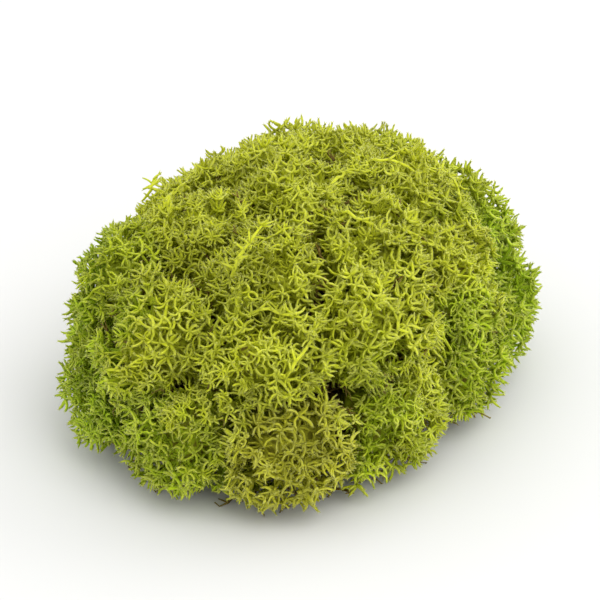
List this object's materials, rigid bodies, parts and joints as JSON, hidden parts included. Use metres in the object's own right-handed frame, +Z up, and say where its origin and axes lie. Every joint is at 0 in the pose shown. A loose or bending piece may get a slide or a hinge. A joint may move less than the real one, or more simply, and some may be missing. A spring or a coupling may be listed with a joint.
{
  "type": "reindeer moss clump",
  "caption": "Low rounded clump of reindeer moss: merged heads of forked, star-tipped twigs on a mat of dead brown stalks with a flat underside.",
  "frame": {"origin": "middle of the flat underside, on the surface that the clump rests on", "axes": "+X along the clump's length, +Y across it, +Z up"},
  "size_m": [0.1263, 0.0971, 0.0599],
  "materials": {
    "moss_yellow_green": "matte lichen twigs, yellow-green with paler tips",
    "moss_leaf_green": "matte lichen twigs, leaf green with paler tips",
    "moss_olive": "matte lichen twigs, olive green turning brown",
    "dead_stalk": "matte dead brown lichen stalks"
  },
  "bodies": {
    "root": {"dead_stalk_mat": "dead_stalk", "head_crown_1": "moss_yellow_green", "head_upper_1": "moss_yellow_green", "head_upper_2": "moss_yellow_green", "head_upper_3": "moss_yellow_green", "head_upper_4": "moss_yellow_green", "head_upper_5": "moss_yellow_green", "head_upper_6": "moss_yellow_green", "head_shoulder_1": "moss_yellow_green", "head_shoulder_2": "moss_yellow_green", "head_shoulder_3": "moss_yellow_green", "head_shoulder_4": "moss_leaf_green", "head_shoulder_5": "moss_yellow_green", "head_shoulder_6": "moss_yellow_green", "head_shoulder_7": "moss_yellow_green", "head_shoulder_8": "moss_yellow_green", "head_shoulder_9": "moss_leaf_green", "head_rim_1": "moss_yellow_green", "head_rim_2": "moss_olive", "head_rim_3": "moss_yellow_green", "head_rim_4": "moss_leaf_green", "head_rim_5": "moss_leaf_green", "head_rim_6": "moss_yellow_green", "head_rim_7": "moss_olive", "head_rim_8": "moss_yellow_green", "head_rim_9": "moss_yellow_green", "head_rim_10": "moss_leaf_green", "head_rim_11": "moss_leaf_green"}
  },
  "joints": []
}
